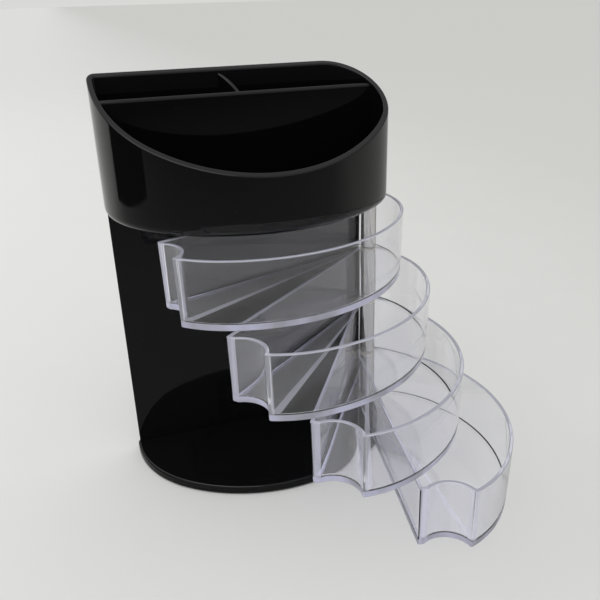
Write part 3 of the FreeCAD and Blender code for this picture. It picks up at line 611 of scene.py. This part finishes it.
def painted_glow_and_dust(tree, places, waves):
    """Painted glow where the plastic would carry light: in the upright edge of each floor, less in the
    rims and the scoops. Real dust grains of about 0.3 mm, a few on each drawer, share its mask. From
    inside the plastic none of it shows.

    The floors' edges repeat with the drawers, so their height is taken modulo the drawers' pitch.
    """
    sizes = bpy.context.scene.organizer_drawer
    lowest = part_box("drawer_4")[0].z
    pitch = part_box("drawer_3")[0].z - lowest
    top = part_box("drawer_4")[1].z - lowest
    height = add(tree, "SeparateXYZ", {"Vector": places}).outputs["Z"]
    above = add(tree, "Math", {0: height, 1: lowest}, operation="SUBTRACT")
    level = add(tree, "Math", {0: above, 1: pitch}, operation="MODULO")
    ends = {"From Min": sizes.floor, "From Max": sizes.floor * 1.08, "To Min": 1.0, "To Max": 0.0}
    painted_glow_band = add(tree, "MapRange", {"Value": level, **ends})
    # The painted glow in the edge is lighter and darker in turns, as if the floor led light to it
    ends = {"From Min": 0.35, "From Max": 0.65, "To Min": 0.6, "To Max": 1.0}
    painted_glow_unevenness = add(tree, "MapRange", {"Value": waves, **ends})
    painted_glow_band = add(tree, "Math", {0: painted_glow_band, 1: painted_glow_unevenness}, operation="MULTIPLY")
    facing = add(tree, "TexCoord").outputs["Normal"]
    tilt = add(tree, "SeparateXYZ", {"Vector": facing}).outputs["Z"]
    flatness = add(tree, "Math", {0: tilt}, operation="ABSOLUTE")
    upright = add(tree, "Math", {0: flatness, 1: 0.6}, operation="LESS_THAN")
    lit = add(tree, "Math", {0: painted_glow_band, 1: upright}, operation="MULTIPLY")
    # The rims get a weaker painted glow
    rim_end = top - sizes.rim_edge
    ends = {"From Min": rim_end - sizes.rim_edge, "From Max": rim_end, "To Max": 0.6}
    rim = add(tree, "MapRange", {"Value": level, **ends})
    # The scoops' painted glow, which each drawer's points carry
    scoop = add(tree, "Attribute", attribute_name="scoop").outputs["Fac"]
    # Real dust grains of about 0.3 mm take the same lavender tone
    grains = dust(tree, places, 9 * MM, 0.108 * MM, 0.162 * MM, 0.9)
    for mark in (rim, scoop, grains):
        lit = add(tree, "Math", {0: lit, 1: mark}, operation="MAXIMUM")
    inside = add(tree, "NewGeometry").outputs["Backfacing"]
    return add(tree, "Math", {0: lit, 1: inside}, operation="SUBTRACT", use_clamp=True)


def turned_steel(name, low, high):
    """Mild steel, drawn and polished: a metal mirror with fine lines round the turned piece."""
    colours = bpy.context.scene.organizer_colours
    material, tree, places = new_material(name)
    # Polishing lines 0.3 mm apart run round the axis, and change over about 25 mm
    scale = (1 / (25 * MM), 1 / (25 * MM), 1 / (0.3 * MM))
    stretch = add(tree, "Mapping", {"Vector": places, "Scale": scale})
    lines = add(tree, "TexNoise", {"Vector": stretch, "Scale": 1.0, "Detail": 2.0})
    ends = {"From Min": 0.3, "From Max": 0.7, "To Min": low, "To Max": high}
    roughness = add(tree, "MapRange", {"Value": lines, **ends})
    normal = add(tree, "Bump", {"Height": lines, "Strength": 0.15, "Distance": 0.01 * MM})
    # The grey tint keeps the metal's glancing edges from going white
    tones = {"Base Color": opaque(colours.steel), "Specular Tint": opaque(linear("#8a8a8a"))}
    look = {"Metallic": 1.0, "Roughness": roughness, "Normal": normal}
    shader = add(tree, "BsdfPrincipled", {**tones, **look})
    add(tree, "OutputMaterial", {"Surface": shader})
    return material


def grained(name, base, dark, low, high, grain):
    """A dull surface whose colour and roughness vary over its grain."""
    material, tree, places = new_material(name)
    noise = add(tree, "TexNoise", {"Vector": places, "Scale": 1 / grain, "Detail": 4.0})
    tones = {"A": opaque(linear(dark)), "B": opaque(base)}
    shade = add(tree, "Mix", {"Factor": noise, **tones}, data_type="RGBA")
    roughness = add(tree, "MapRange", {"Value": noise, "To Min": low, "To Max": high})
    normal = add(tree, "Bump", {"Height": noise, "Strength": 0.4, "Distance": 0.05 * MM})
    look = {"Base Color": shade, "Roughness": roughness, "Normal": normal}
    shader = add(tree, "BsdfPrincipled", look)
    add(tree, "OutputMaterial", {"Surface": shader})
    return material


# Pieces


class ORGANIZER_OT_base_plate(bpy.types.Operator):
    """Build the D-shaped base: a hollow moulding with ribs and foot rings underneath"""

    bl_idname = "organizer.base_plate"
    bl_label = "Base plate"

    def execute(self, context):
        sizes = context.scene.organizer_body
        shape = BodyShape(sizes)
        low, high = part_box("base_plate")
        under = high.z - sizes.base_skin
        skirt = sizes.base_skirt
        edge = sizes.edge
        corners = (
            (SHORT_SHARE * skirt, under),
            (skirt, under),
            (skirt, low.z),
            (0, low.z),
            (0, high.z),
            (LONG_SHARE * sizes.base_edge, high.z),
        )
        profile = eased(corners, (edge, edge, edge, sizes.base_edge))
        skins = [skin(carried(shape.body_runs, profile))]

        # Ribs hang from the skin and run into the middle of the skirt
        bottom, top = low.z + edge, under + edge
        half = sizes.rib / 2
        middle = skirt / 2
        for share in RIB_SHARES:
            x = 2 * shape.half * share
            front = shape.front[1] - math.sqrt((shape.front_radius - middle) ** 2 - x**2)
            runs = box_runs((x - half, front), (x + half, -middle))
            skins.append(post(runs, bottom, top, edge))
        y = CROSS_RIB_SHARE * low.y
        reach = math.sqrt((shape.side_radius - middle) ** 2 - (shape.right[1] - y) ** 2)
        side = shape.right[0] + reach
        skins.append(post(box_runs((-side, y - half), (side, y + half)), bottom, top, edge))
        for foot in FEET:
            foot_low, foot_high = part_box(foot)
            centre = ((foot_low + foot_high) / 2)[:2]
            outer = sizes.foot_room + sizes.foot_wall
            skins.append(ring(centre, outer, sizes.foot_room, low.z, top, edge))
        material = gloss_black("base", 0.02 * MM)
        make_piece("base_shell", skins, "frame", material, "base_plate")
        return {"FINISHED"}


class ORGANIZER_OT_back_panel(bpy.types.Operator):
    """Build the flat back panel between the base and the tray"""

    bl_idname = "organizer.back_panel"
    bl_label = "Back panel"

    def execute(self, context):
        sizes = context.scene.organizer_body
        low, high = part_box("back_panel")
        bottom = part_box("base_plate")[1].z

        def runs(inset):
            left, right = low.x + inset, high.x - inset
            front, back = low.y + inset, high.y - inset
            reach = sizes.panel_corner
            corner = (low.x + reach, high.y - reach)
            return [
                (Line((left, front), (right, front)), LINE_STEPS, True),
                (Line((right, front), (right, back)), LINE_STEPS, True),
                (Line((right, back), (corner[0], back)), LINE_STEPS, False),
                (Arc(corner, reach - inset, QUARTER, QUARTER), CORNER_STEPS, False),
                (Line((left, corner[1]), (left, front)), LINE_STEPS, True),
            ]

        skins = [post(runs, bottom, high.z, sizes.edge)]
        material = gloss_black("panel", 0.012 * MM)
        make_piece("panel_sheet", skins, "frame", material, "back_panel")
        return {"FINISHED"}


class ORGANIZER_OT_top_tray(bpy.types.Operator):
    """Build the pen tray: walls under a slanted rim, two dividers, and the lug over the rod"""

    bl_idname = "organizer.top_tray"
    bl_label = "Top tray"

    def execute(self, context):
        body = context.scene.organizer_body
        tray = context.scene.organizer_tray
        shape = BodyShape(body)
        low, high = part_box("top_tray")
        slope = math.tan(tray.rim_angle)
        floor = low.z + tray.floor

        def rim(y):
            """The height of the rim's plane, which falls towards the front."""
            return high.z + slope * y

        def crest(y):
            return rim(y) - tray.divider_drop

        skins = [skin(self.walls(shape, tray, low.z, rim))]
        foot = low.z + tray.floor / 2
        paths = (self.main_path(shape, tray), self.cross_path(tray))
        for (path, across), thickness in zip(paths, (tray.divider, tray.cross)):
            skins.append(skin(self.divider(path, across, thickness / 2, foot, crest)))
        skins.append(post(self.lug_runs(shape, tray), low.z, floor, body.edge))
        boss = disc_runs(PIVOT, tray.boss_radius)
        skins.append(post(boss, low.z + body.edge, floor + tray.boss_height, tray.rim_edge))
        material = gloss_black("tray", 0.02 * MM)
        make_piece("tray_shell", skins, "frame", material, "top_tray")
        return {"FINISHED"}

    def walls(self, shape, tray, bottom, rim):
        """The walls and floor as one profile of (inset, height), carried along the tray's outline.

        The middle part of the profile is measured from the rim's plane.
        """
        foot, edge, inner, wall = tray.foot_radius, tray.rim_edge, tray.inner_radius, tray.wall
        floor = bottom + tray.floor
        outside = ((SHORT_SHARE * foot, bottom), (0, bottom), (0, bottom + SHORT_SHARE * foot))
        below = -LONG_SHARE * edge
        top = ((0, below), (0, 0), (wall, 0), (wall, below))
        beside = LONG_SHARE * inner
        inside = ((wall, floor + beside), (wall, floor), (wall + beside, floor))
        parts = (
            (eased(outside, (foot,), FOOT_STEPS), False),
            (eased(top, (edge, edge)), True),
            (eased(inside, (inner,)), False),
        )
        rows = []
        for profile, follows_rim in parts:
            for inset, height in profile:
                points = outline(shape.tray_runs(tray, inset))
                plane = rim(points[:, 1]) if follows_rim else np.zeros(len(points))
                rows.append(np.column_stack([points, plane + height]))
        return np.array(rows)

    def divider(self, path, across, half, bottom, crest):
        """A thin upright wall along a path: one loop of points for each place on the path.

        Its top follows the crest's height, with both edges eased over 3/4 of half its thickness.
        """
        edge = 0.75 * half
        below = -LONG_SHARE * edge
        top = eased(((half, below), (half, 0), (-half, 0), (-half, below)), (edge, edge))
        sides = np.concatenate([[half], top[:, 0], [-half]])
        points = path[:, None, :] + across[:, None, :] * sides[None, :, None]
        heights = crest(points[:, 1:-1, 1]) + top[None, :, 1]
        feet = np.full((len(path), 1), bottom)
        return np.dstack([points, np.hstack([feet, heights, feet])])

    def main_path(self, shape, tray):
        """The main divider's path, straight from the left side arc to the wide corner's arc, and the
        way across it."""
        y = -tray.divider_place
        middle = tray.wall / 2
        wide, centre = shape.wide_corner(tray)
        reach = math.sqrt((shape.side_radius - middle) ** 2 - (y - shape.right[1]) ** 2)
        right = centre[0] + math.sqrt((wide - middle) ** 2 - (y - centre[1]) ** 2)
        return np.array([(-shape.right[0] - reach, y), (right, y)]), np.array([(0.0, 1.0)] * 2)

    def cross_path(self, tray):
        """The cross divider's path, an arc from the back wall to the main divider, and the way across
        it. The arc's radius is chord squared / (8 * bow) + bow / 2."""
        back = np.array([-tray.cross_back, -tray.wall / 2])
        front = np.array([-tray.cross_front, -tray.divider_place])
        chord = front - back
        reach = np.linalg.norm(chord)
        radius = reach**2 / (8 * tray.cross_bow) + tray.cross_bow / 2
        normal = np.array([-chord[1], chord[0]]) / reach
        centre = (back + front) / 2 - normal * (radius - tray.cross_bow)
        start, end = heading_of(back - centre), heading_of(front - centre)
        path = Arc(centre, radius, start, end - start).at(np.linspace(0, 1, LINE_STEPS * 2))
        return path, (path - centre) / radius

    def lug_runs(self, shape, tray):
        """The lug: from the wide corner's centre out round the pivot, to the back face."""
        _, centre = shape.wide_corner(tray)
        reach = tray.lug_radius
        way = centre - PIVOT
        heading = heading_of(way) + math.acos(reach / np.linalg.norm(way))

        def runs(inset):
            radius = reach - inset
            touch = PIVOT + radius * np.array([math.cos(heading), math.sin(heading)])
            inner = centre + inset
            side = PIVOT[0] + radius
            return [
                (Line(inner, touch), LINE_STEPS, False),
                (Arc(PIVOT, radius, heading, WHOLE_TURN - heading), WIDE_STEPS, False),
                (Line((side, PIVOT[1]), (side, -reach)), LINE_STEPS, False),
                (Arc((PIVOT[0], -reach), radius, 0.0, QUARTER), SIDE_STEPS, False),
                (Line((PIVOT[0], -inset), (inner[0], -inset)), LINE_STEPS, True),
                (Line((inner[0], -inset), inner), LINE_STEPS, True),
            ]

        return runs


class ORGANIZER_OT_drawers(bpy.types.Operator):
    """Build the four clear drawers, each swung out about the rod"""

    bl_idname = "organizer.drawers"
    bl_label = "Drawers"

    def execute(self, context):
        drawer = context.scene.organizer_drawer
        shape = BodyShape(context.scene.organizer_body)
        low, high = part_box("drawer_1")
        rows = self.shell(shape, drawer, high.z - low.z)
        points, quads, ends = skin(rows, wrap=True)
        material = clear_polystyrene()
        for level, body in enumerate(DRAWER_BODIES, 1):
            node = f"drawer_{level}"
            turn = -math.radians(JOINTS[body]["range_deg"][0])
            placed = swung(points, turn) + (0, 0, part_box(node)[0].z)
            skins = [(placed, quads, ends)]
            piece = make_piece(f"drawer_shell_{level}", skins, body, material, node)
            # Each point keeps its painted glow in the scoop attribute
            scoop = piece.data.attributes.new("scoop", "FLOAT", "POINT")
            scoop.data.foreach_set("value", self.painted_scoop_glow(rows))
        return {"FINISHED"}

    def painted_scoop_glow(self, rows):
        """How much painted glow each point carries: much in the end wall, less about the scoop's front
        corner, and little in the rest of the scoop."""
        end_wall = SIDE_STEPS + EASE_STEPS
        scoop = end_wall + LINE_STEPS + EASE_STEPS
        corner = scoop + SIDE_STEPS
        glow = np.zeros(rows.shape[:2])
        glow[:, end_wall:scoop] = END_WALL_PAINTED_GLOW
        glow[:, scoop:corner] = SCOOP_PAINTED_GLOW
        glow[:, corner - CORNER_REACH : corner + EASE_STEPS + CORNER_REACH] = CORNER_PAINTED_GLOW
        return glow.ravel()

    def shell(self, shape, drawer, height):
        """A closed drawer as one profile that wraps through the rod's bore.

        It runs out under the floor, up the outside, over the rim, down the inside and back over the
        floor to the bore. The bore's points lie in the same directions as those of the outline.
        """
        deep = drawer.hinge_radius / 2
        corners = (
            (deep, 0),
            (drawer.taper, 0),
            (0, height),
            (drawer.wall, height),
            (drawer.wall, drawer.floor),
            (deep, drawer.floor),
        )
        radii = (drawer.foot_edge, drawer.rim_edge, drawer.rim_edge, drawer.inner_radius)
        profile = eased(corners, radii)
        rows = carried(lambda inset: shape.drawer_runs(drawer, inset), profile, drawer.upright_edge)
        across = rows[0, :, :2] - PIVOT
        bore = PIVOT + across * (drawer.bore / np.linalg.norm(across, axis=1))[:, None]
        low_bore = np.column_stack([bore, np.zeros(len(bore))])
        high_bore = np.column_stack([bore, np.full(len(bore), drawer.floor)])
        return np.concatenate([low_bore[None], rows, high_bore[None]])


class ORGANIZER_OT_spacer_tubes(bpy.types.Operator):
    """Build the polished tubes round the rod that hold the levels apart"""

    bl_idname = "organizer.spacer_tubes"
    bl_label = "Spacer tubes"

    def execute(self, context):
        sizes = context.scene.organizer_body
        material = turned_steel("polished_steel_tube", 0.04, 0.10)
        for level in range(1, len(DRAWER_BODIES) + 1):
            node = f"spacer_tube_{level}"
            low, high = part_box(node)
            outer = (high.y - low.y) / 2
            skins = [ring(PIVOT, outer, sizes.tube_bore, low.z, high.z, sizes.edge)]
            make_piece(f"tube_{level}", skins, "frame", material, node)
        return {"FINISHED"}


class ORGANIZER_OT_small_parts(bpy.types.Operator):
    """Give the rod, its washers and the feet their materials"""

    bl_idname = "organizer.small_parts"
    bl_label = "Rod, washers and feet"

    def execute(self, context):
        colours = context.scene.organizer_colours
        steel = turned_steel("drawn_steel_rod", 0.16, 0.30)
        # Nylon, moulded: milky and dull
        nylon = grained("natural_moulded_nylon", colours.nylon, "#d6d2c4", 0.38, 0.55, 2 * MM)
        # Rubber, moulded: dull black with a fine tooth
        rubber = grained("moulded_rubber", colours.rubber, "#121212", 0.7, 0.9, 0.6 * MM)
        finishes = {"pivot_rod": steel, "head_washer": steel, "slip_washer": nylon, "foot_": rubber}
        for name, node in frame["nodes"].items():
            for start, finish in finishes.items():
                if name.startswith(start):
                    node.data.materials.clear()
                    node.data.materials.append(finish)
        return {"FINISHED"}


class ORGANIZER_OT_stage(bpy.types.Operator):
    """Set up the pale paper floor, the soft light and the camera"""

    bl_idname = "organizer.stage"
    bl_label = "Stage"

    def execute(self, context):
        scene = context.scene
        stage = scene.organizer_stage
        scene.view_settings.view_transform = "Standard"
        # A look through the drawers crosses a wall more than a dozen times
        scene.cycles.max_bounces = 28
        scene.cycles.transmission_bounces = 28
        scene.cycles.transparent_max_bounces = 40
        self.floor(scene.organizer_colours, stage)
        self.card()
        self.world(scene)
        self.lamps(stage)
        self.camera(scene, stage)
        return {"FINISHED"}

    def floor(self, colours, stage):
        """A wide flat disc of seamless paper: matt and pale, with soft clouds, a painted shade to the
        right, and painted darkness towards the room where mirrors see it.
        """
        ring_points = outline(disc_runs((0, 0), stage.floor_radius)(0))
        corners = np.column_stack([ring_points, np.zeros(RING_STEPS)])
        mesh = bpy.data.meshes.new("paper_floor")
        mesh.from_pydata(corners, [], [range(RING_STEPS)])
        material, tree, places = new_material("seamless_paper")
        # The clouds are about 60 mm wide, and a painted shade darkens the paper to the right, away from
        # the window
        clouds = add(tree, "TexNoise", {"Vector": places, "Scale": 1 / (60 * MM), "Detail": 3.0})
        across = add(tree, "SeparateXYZ", {"Vector": places}).outputs["X"]
        place = add(tree, "Math", {0: clouds, 1: 0.12, 2: across}, operation="MULTIPLY_ADD")
        ends = {"From Min": -0.25, "From Max": 0.75}
        painted_dimming = add(tree, "MapRange", {"Value": place, **ends}, interpolation_type="SMOOTHSTEP")
        tones = {"A": opaque(colours.paper), "B": opaque(linear("#cfcfcc"))}
        shade = add(tree, "Mix", {"Factor": painted_dimming, **tones}, data_type="RGBA")
        shade = self.painted_room_darkness(tree, places, shade)
        look = {"Base Color": shade, "Roughness": 0.85, "Specular IOR Level": 0.2}
        shader = add(tree, "BsdfPrincipled", look)
        add(tree, "OutputMaterial", {"Surface": shader})
        mesh.materials.append(material)
        shown("paper_floor", mesh)

    def painted_room_darkness(self, tree, places, shade):
        """The paper as mirrors see it: painted darkness towards the room, which stands in for the dark
        room in reflections.

        How far towards the room a place lies is its dot product with the room's way.
        """
        rays = add(tree, "LightPath").outputs
        kinds = {0: rays["Is Glossy Ray"], 1: rays["Is Transmission Ray"]}
        mirrored = add(tree, "Math", kinds, operation="SUBTRACT", use_clamp=True)
        way = add(tree, "VectorMath", {0: places, 1: ROOM_WAY}, operation="DOT_PRODUCT")
        ends = {"From Min": -0.1, "From Max": 0.1, "To Min": 0.12, "To Max": 0.55}
        near = add(tree, "MapRange", {"Value": way, **ends})
        ends = {"From Min": 0.1, "From Max": 1.15, "To Max": 0.42}
        far = add(tree, "MapRange", {"Value": way, **ends})
        dark = add(tree, "Math", {0: near, 1: far}, operation="ADD")
        share = add(tree, "Math", {0: mirrored, 1: dark}, operation="MULTIPLY")
        # Painted dark reflection: for mirror rays the paper's colour goes towards near black
        tones = {"A": shade, "B": opaque(linear("#050505"))}
        return add(tree, "Mix", {"Factor": share, **tones}, data_type="RGBA")

    def card(self):
        """A dark upright card, far left of the object, that only mirrors see: it puts a painted dark
        reflection into the glossy pieces.
        """
        start, end = CARD_ENDS
        corners = [(*start, 0), (*end, 0), (*end, CARD_HEIGHT), (*start, CARD_HEIGHT)]
        mesh = bpy.data.meshes.new("dark_card")
        mesh.from_pydata(corners, [], [(0, 1, 2, 3)])
        # A dull near-black card, there only for the painted dark reflection
        material = grained("dyed_black_card", linear("#101010"), "#0a0a0a", 0.8, 0.95, 4 * MM)
        mesh.materials.append(material)
        card = shown("dark_card", mesh)
        card.visible_camera = False
        card.visible_diffuse = False
        card.visible_transmission = False
        card.visible_shadow = False

    def world(self, scene):
        """A soft surround, brighter overhead than at the sides, and plain pale to the eye."""
        world = bpy.data.worlds.new("soft_surround")
        scene.world = world
        world.use_nodes = True
        tree = world.node_tree
        tree.nodes.clear()
        way = add(tree, "TexCoord").outputs["Generated"]
        height = add(tree, "SeparateXYZ", {"Vector": way}).outputs["Z"]
        rise = {"Value": height, "To Min": 0.55}
        glow = add(tree, "MapRange", rise, interpolation_type="SMOOTHSTEP")
        lit = add(tree, "Background", {"Strength": glow})
        seen = add(tree, "Background", {"Color": opaque(scene.organizer_colours.sky)})
        eye = add(tree, "LightPath").outputs["Is Camera Ray"]
        mix = add(tree, "MixShader", {0: eye, 1: lit, 2: seen})
        add(tree, "OutputWorld", {"Surface": mix})

    def lamps(self, stage):
        """A high, wide lamp from the left front and a soft window from the left back."""
        high = bpy.data.lights.new("high_lamp", "SUN")
        high.energy = stage.lamp_strength
        high.angle = stage.lamp_spread
        window = bpy.data.lights.new("window", "AREA")
        window.shape = "RECTANGLE"
        window.size = stage.window_width
        window.size_y = stage.window_height
        window.energy = stage.window_power
        for light, place in ((high, HIGH_LAMP_PLACE), (window, WINDOW_PLACE)):
            lamp = shown(light.name, light)
            lamp.location = place
            lamp.rotation_euler = (-Vector(place)).to_track_quat("-Z", "Y").to_euler()

    def camera(self, scene, stage):
        """The camera: leant, raised from looking straight down to its pitch, turned and placed."""
        lens = bpy.data.cameras.new("camera")
        lens.lens = stage.camera_lens
        lens.sensor_width = 36.0
        lens.shift_x, lens.shift_y = SHIFT
        lens.clip_end = 2 * stage.floor_radius
        place = Matrix.Translation(stage.camera_place)
        yaw = Matrix.Rotation(-stage.camera_yaw, 4, "Z")
        pitch = Matrix.Rotation(QUARTER - stage.camera_pitch, 4, "X")
        roll = Matrix.Rotation(stage.camera_roll, 4, "Z")
        scene.camera = shown("camera", lens)
        scene.camera.matrix_world = place @ yaw @ pitch @ roll


# Add-on


PIECE_OPERATORS = (
    ORGANIZER_OT_base_plate,
    ORGANIZER_OT_back_panel,
    ORGANIZER_OT_top_tray,
    ORGANIZER_OT_drawers,
    ORGANIZER_OT_spacer_tubes,
    ORGANIZER_OT_small_parts,
    ORGANIZER_OT_stage,
)
PROPERTY_GROUPS = {
    "organizer_body": OrganizerBodySizes,
    "organizer_tray": OrganizerTraySizes,
    "organizer_drawer": OrganizerDrawerSizes,
    "organizer_stage": OrganizerStageSizes,
    "organizer_colours": OrganizerColours,
}


class ORGANIZER_PT_panel(bpy.types.Panel):
    """Lists what the organizer is built of"""

    bl_idname = "ORGANIZER_PT_panel"
    bl_label = "Desk organizer"
    bl_space_type = "VIEW_3D"
    bl_region_type = "UI"
    bl_category = "Organizer"

    def draw(self, context):
        for operator in PIECE_OPERATORS:
            self.layout.operator(operator.bl_idname)
        for group in PROPERTY_GROUPS:
            box = self.layout.box()
            settings = getattr(context.scene, group)
            for name in settings.__annotations__:
                box.prop(settings, name)


def register():
    for group, kind in PROPERTY_GROUPS.items():
        bpy.utils.register_class(kind)
        setattr(bpy.types.Scene, group, PointerProperty(type=kind))
    for kind in (*PIECE_OPERATORS, ORGANIZER_PT_panel):
        bpy.utils.register_class(kind)


def unregister():
    for kind in (ORGANIZER_PT_panel, *reversed(PIECE_OPERATORS)):
        bpy.utils.unregister_class(kind)
    for group, kind in reversed(PROPERTY_GROUPS.items()):
        delattr(bpy.types.Scene, group)
        bpy.utils.unregister_class(kind)


def main():
    register()
    bpy.ops.organizer.base_plate()
    bpy.ops.organizer.back_panel()
    bpy.ops.organizer.top_tray()
    bpy.ops.organizer.drawers()
    bpy.ops.organizer.spacer_tubes()
    bpy.ops.organizer.small_parts()
    bpy.ops.organizer.stage()


if __name__ == "__main__":
    main()
